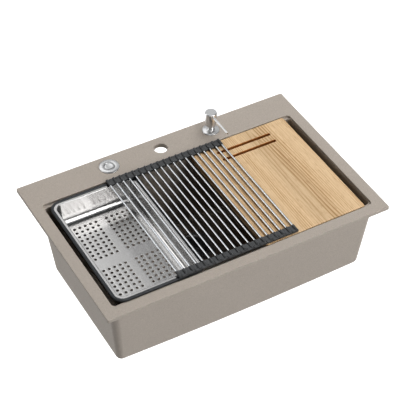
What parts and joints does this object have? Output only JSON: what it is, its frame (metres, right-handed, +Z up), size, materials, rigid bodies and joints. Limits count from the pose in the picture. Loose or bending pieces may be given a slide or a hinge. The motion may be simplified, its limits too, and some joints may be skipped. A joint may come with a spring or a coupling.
{
  "type": "kitchen sink",
  "caption": "Rectangular drop-in granite sink with a tap hole, pump dispenser, waste button, slide-in colander, roll-up bar rack and slotted cutting board",
  "frame": {"origin": "centre of the worktop cut-out, on the top plane of the worktop, which is the underside of the deck rim", "axes": "+X along the front edge to the board side, +Y from the user to the tap side, +Z up"},
  "size_m": [0.76, 0.5, 0.3691],
  "materials": {
    "granite": "fine matt grain, warm grey granite composite",
    "waste_steel": "satin spun steel",
    "gasket_rubber": "matt black rubber",
    "nut_plastic": "moulded black plastic",
    "pipe_plastic": "moulded white plastic",
    "basket_steel": "pressed satin steel",
    "fitting_steel": "satin chrome",
    "button_steel": "polished chrome",
    "bottle_plastic": "translucent white plastic",
    "pan_steel": "pressed steel with a fine linen sheen",
    "trim_rubber": "dark grey soft edge trim",
    "board_wood": "pale solid wood, oiled",
    "bar_steel": "polished round bar",
    "link_silicone": "dark grey silicone"
  },
  "bodies": {
    "sink": {"sink_body": "granite", "waste_body": "waste_steel", "waste_top_gasket": "gasket_rubber", "waste_under_gasket": "gasket_rubber", "waste_lock_nut": "nut_plastic", "waste_tail": "pipe_plastic", "button_housing": "fitting_steel", "button_nut": "nut_plastic", "dispenser_collar": "fitting_steel", "dispenser_nut": "nut_plastic", "soap_bottle": "bottle_plastic", "pump_barrel": "bottle_plastic"},
    "basket": {"strainer_basket": "basket_steel", "basket_seal": "gasket_rubber"},
    "button": {"button_cap": "button_steel"},
    "pump": {"pump_rod": "button_steel"},
    "head": {"pump_head": "fitting_steel"},
    "colander": {"colander_pan": "pan_steel", "colander_trim": "trim_rubber"},
    "board": {"cutting_board": "board_wood"},
    "rack_01": {"rack_bar_01": "bar_steel", "rack_links_01": "link_silicone"},
    "rack_02": {"rack_bar_02": "bar_steel", "rack_links_02": "link_silicone"},
    "rack_03": {"rack_bar_03": "bar_steel", "rack_links_03": "link_silicone"},
    "rack_04": {"rack_bar_04": "bar_steel", "rack_links_04": "link_silicone"},
    "rack_05": {"rack_bar_05": "bar_steel", "rack_links_05": "link_silicone"},
    "rack_06": {"rack_bar_06": "bar_steel", "rack_links_06": "link_silicone"},
    "rack_07": {"rack_bar_07": "bar_steel", "rack_links_07": "link_silicone"},
    "rack_08": {"rack_bar_08": "bar_steel", "rack_links_08": "link_silicone"},
    "rack_09": {"rack_bar_09": "bar_steel", "rack_links_09": "link_silicone"},
    "rack_10": {"rack_bar_10": "bar_steel", "rack_links_10": "link_silicone"},
    "rack_11": {"rack_bar_11": "bar_steel", "rack_links_11": "link_silicone"},
    "rack_12": {"rack_bar_12": "bar_steel", "rack_links_12": "link_silicone"},
    "rack_13": {"rack_bar_13": "bar_steel", "rack_links_13": "link_silicone"},
    "rack_14": {"rack_bar_14": "bar_steel", "rack_links_14": "link_silicone"},
    "rack_15": {"rack_bar_15": "bar_steel", "rack_links_15": "link_silicone"},
    "rack_16": {"rack_bar_16": "bar_steel", "rack_links_16": "link_silicone"},
    "rack_17": {"rack_bar_17": "bar_steel", "rack_links_17": "link_silicone"},
    "rack_18": {"rack_bar_18": "bar_steel", "rack_links_18": "link_silicone"},
    "rack_19": {"rack_bar_19": "bar_steel", "rack_links_19": "link_silicone"}
  },
  "joints": [
    {"name": "button_press", "type": "slide", "parent": "sink", "child": "button", "axis": [0, 0, -1], "range_m": [0, 0.005], "stiffness_N_per_m": 300, "springref_m": -0.004},
    {"name": "basket_lift", "type": "slide", "parent": "sink", "child": "basket", "axis": [0, 0, 1], "range_m": [0, 0.008]},
    {"name": "pump_press", "type": "slide", "parent": "sink", "child": "pump", "axis": [0, 0, -1], "range_m": [0, 0.012], "stiffness_N_per_m": 350, "springref_m": -0.016},
    {"name": "head_swivel", "type": "hinge", "parent": "pump", "child": "head", "pos_m": [0.145, 0.21, 0.059], "axis": [0, 0, 1], "continuous": true},
    {"name": "colander_slide", "type": "slide", "parent": "sink", "child": "colander", "axis": [1, 0, 0], "range_m": [-0.011, 0.072]},
    {"name": "board_slide", "type": "slide", "parent": "sink", "child": "board", "axis": [1, 0, 0], "range_m": [-0.072, 0.012]},
    {"name": "rack_lift", "type": "slide", "parent": "sink", "child": "rack_01", "axis": [0, 0, 1], "range_m": [0, 0.2]},
    {"name": "rack_roll_02", "type": "hinge", "parent": "rack_01", "child": "rack_02", "pos_m": [-0.15736, -0.02575, 0.0128], "axis": [0, -1, 0], "range_deg": [0, 18]},
    {"name": "rack_roll_03", "type": "hinge", "parent": "rack_02", "child": "rack_03", "pos_m": [-0.13992, -0.02575, 0.0128], "axis": [0, -1, 0], "range_deg": [0, 18]},
    {"name": "rack_roll_04", "type": "hinge", "parent": "rack_03", "child": "rack_04", "pos_m": [-0.12248, -0.02575, 0.0128], "axis": [0, -1, 0], "range_deg": [0, 18]},
    {"name": "rack_roll_05", "type": "hinge", "parent": "rack_04", "child": "rack_05", "pos_m": [-0.10504, -0.02575, 0.0128], "axis": [0, -1, 0], "range_deg": [0, 18]},
    {"name": "rack_roll_06", "type": "hinge", "parent": "rack_05", "child": "rack_06", "pos_m": [-0.0876, -0.02575, 0.0128], "axis": [0, -1, 0], "range_deg": [0, 18]},
    {"name": "rack_roll_07", "type": "hinge", "parent": "rack_06", "child": "rack_07", "pos_m": [-0.07016, -0.02575, 0.0128], "axis": [0, -1, 0], "range_deg": [0, 18]},
    {"name": "rack_roll_08", "type": "hinge", "parent": "rack_07", "child": "rack_08", "pos_m": [-0.05272, -0.02575, 0.0128], "axis": [0, -1, 0], "range_deg": [0, 18]},
    {"name": "rack_roll_09", "type": "hinge", "parent": "rack_08", "child": "rack_09", "pos_m": [-0.03528, -0.02575, 0.0128], "axis": [0, -1, 0], "range_deg": [0, 18]},
    {"name": "rack_roll_10", "type": "hinge", "parent": "rack_09", "child": "rack_10", "pos_m": [-0.01784, -0.02575, 0.0128], "axis": [0, -1, 0], "range_deg": [0, 18]},
    {"name": "rack_roll_11", "type": "hinge", "parent": "rack_10", "child": "rack_11", "pos_m": [-0.0004, -0.02575, 0.0128], "axis": [0, -1, 0], "range_deg": [0, 18]},
    {"name": "rack_roll_12", "type": "hinge", "parent": "rack_11", "child": "rack_12", "pos_m": [0.01704, -0.02575, 0.0128], "axis": [0, -1, 0], "range_deg": [0, 18]},
    {"name": "rack_roll_13", "type": "hinge", "parent": "rack_12", "child": "rack_13", "pos_m": [0.03448, -0.02575, 0.0128], "axis": [0, -1, 0], "range_deg": [0, 18]},
    {"name": "rack_roll_14", "type": "hinge", "parent": "rack_13", "child": "rack_14", "pos_m": [0.05192, -0.02575, 0.0128], "axis": [0, -1, 0], "range_deg": [0, 18]},
    {"name": "rack_roll_15", "type": "hinge", "parent": "rack_14", "child": "rack_15", "pos_m": [0.06936, -0.02575, 0.0128], "axis": [0, -1, 0], "range_deg": [0, 18]},
    {"name": "rack_roll_16", "type": "hinge", "parent": "rack_15", "child": "rack_16", "pos_m": [0.0868, -0.02575, 0.0128], "axis": [0, -1, 0], "range_deg": [0, 18]},
    {"name": "rack_roll_17", "type": "hinge", "parent": "rack_16", "child": "rack_17", "pos_m": [0.10424, -0.02575, 0.0128], "axis": [0, -1, 0], "range_deg": [0, 18]},
    {"name": "rack_roll_18", "type": "hinge", "parent": "rack_17", "child": "rack_18", "pos_m": [0.12168, -0.02575, 0.0128], "axis": [0, -1, 0], "range_deg": [0, 18]},
    {"name": "rack_roll_19", "type": "hinge", "parent": "rack_18", "child": "rack_19", "pos_m": [0.13912, -0.02575, 0.0128], "axis": [0, -1, 0], "range_deg": [0, 18]}
  ],
  "couplings": [
    {"joint": "basket_lift", "follows": "button_press", "ratio": 1.6},
    {"joint": "rack_roll_03", "follows": "rack_roll_02", "ratio": 1},
    {"joint": "rack_roll_04", "follows": "rack_roll_02", "ratio": 1},
    {"joint": "rack_roll_05", "follows": "rack_roll_02", "ratio": 1},
    {"joint": "rack_roll_06", "follows": "rack_roll_02", "ratio": 1},
    {"joint": "rack_roll_07", "follows": "rack_roll_02", "ratio": 1},
    {"joint": "rack_roll_08", "follows": "rack_roll_02", "ratio": 1},
    {"joint": "rack_roll_09", "follows": "rack_roll_02", "ratio": 1},
    {"joint": "rack_roll_10", "follows": "rack_roll_02", "ratio": 1},
    {"joint": "rack_roll_11", "follows": "rack_roll_02", "ratio": 1},
    {"joint": "rack_roll_12", "follows": "rack_roll_02", "ratio": 1},
    {"joint": "rack_roll_13", "follows": "rack_roll_02", "ratio": 1},
    {"joint": "rack_roll_14", "follows": "rack_roll_02", "ratio": 1},
    {"joint": "rack_roll_15", "follows": "rack_roll_02", "ratio": 1},
    {"joint": "rack_roll_16", "follows": "rack_roll_02", "ratio": 1},
    {"joint": "rack_roll_17", "follows": "rack_roll_02", "ratio": 1},
    {"joint": "rack_roll_18", "follows": "rack_roll_02", "ratio": 1},
    {"joint": "rack_roll_19", "follows": "rack_roll_02", "ratio": 1}
  ]
}
